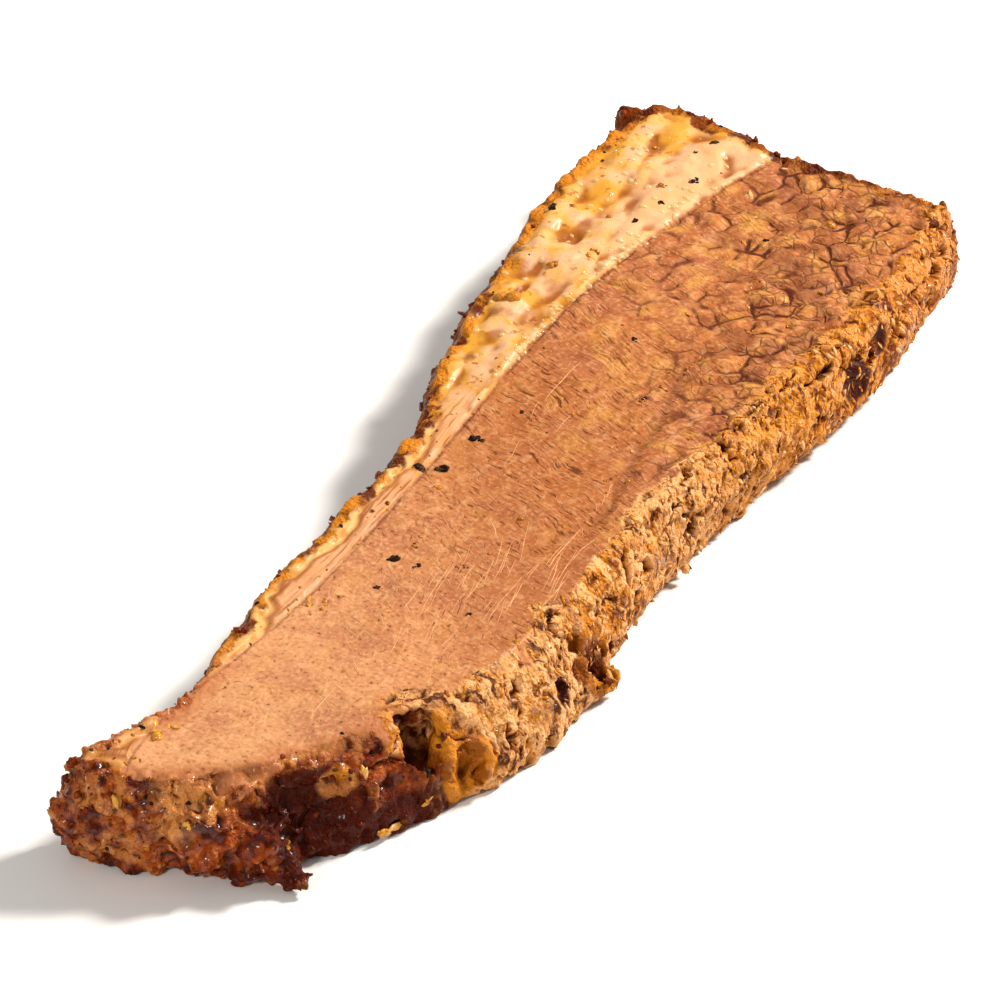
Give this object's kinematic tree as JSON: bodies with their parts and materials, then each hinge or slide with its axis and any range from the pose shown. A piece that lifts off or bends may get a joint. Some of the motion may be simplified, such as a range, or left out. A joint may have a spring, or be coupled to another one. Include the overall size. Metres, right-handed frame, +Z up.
{
  "type": "braised brisket slice",
  "caption": "Thick slice of braised brisket lying on a cut face, lean with a fat cap along an edge and browned, peppered crust round its rim.",
  "frame": {"origin": "under the middle of the slice's bounding box, on the surface that it lies on", "axes": "+X along the slice from its narrow dark end to its broad end, +Y across it towards the fat cap, +Z up out of the upper cut face"},
  "size_m": [0.2202, 0.0694, 0.019],
  "materials": {
    "braised_meat": "moist cut meat, golden brown, with cream fat and dark browned crust",
    "dark_crust": "sticky dark red-brown crust crumbs",
    "golden_crust": "golden browned flakes of crust and fat",
    "cracked_pepper": "cracked black pepper, damp",
    "brown_bits": "amber and red-brown bits of spice and meat, wet",
    "yellow_shreds": "yellow and orange shreds of fat and herbs",
    "pale_fibres": "pale fibres and membrane of the cut meat",
    "clear_juices": "beads of clear cooking juice and melted fat"
  },
  "bodies": {
    "root": {"brisket_slice": "braised_meat"}
  },
  "joints": []
}
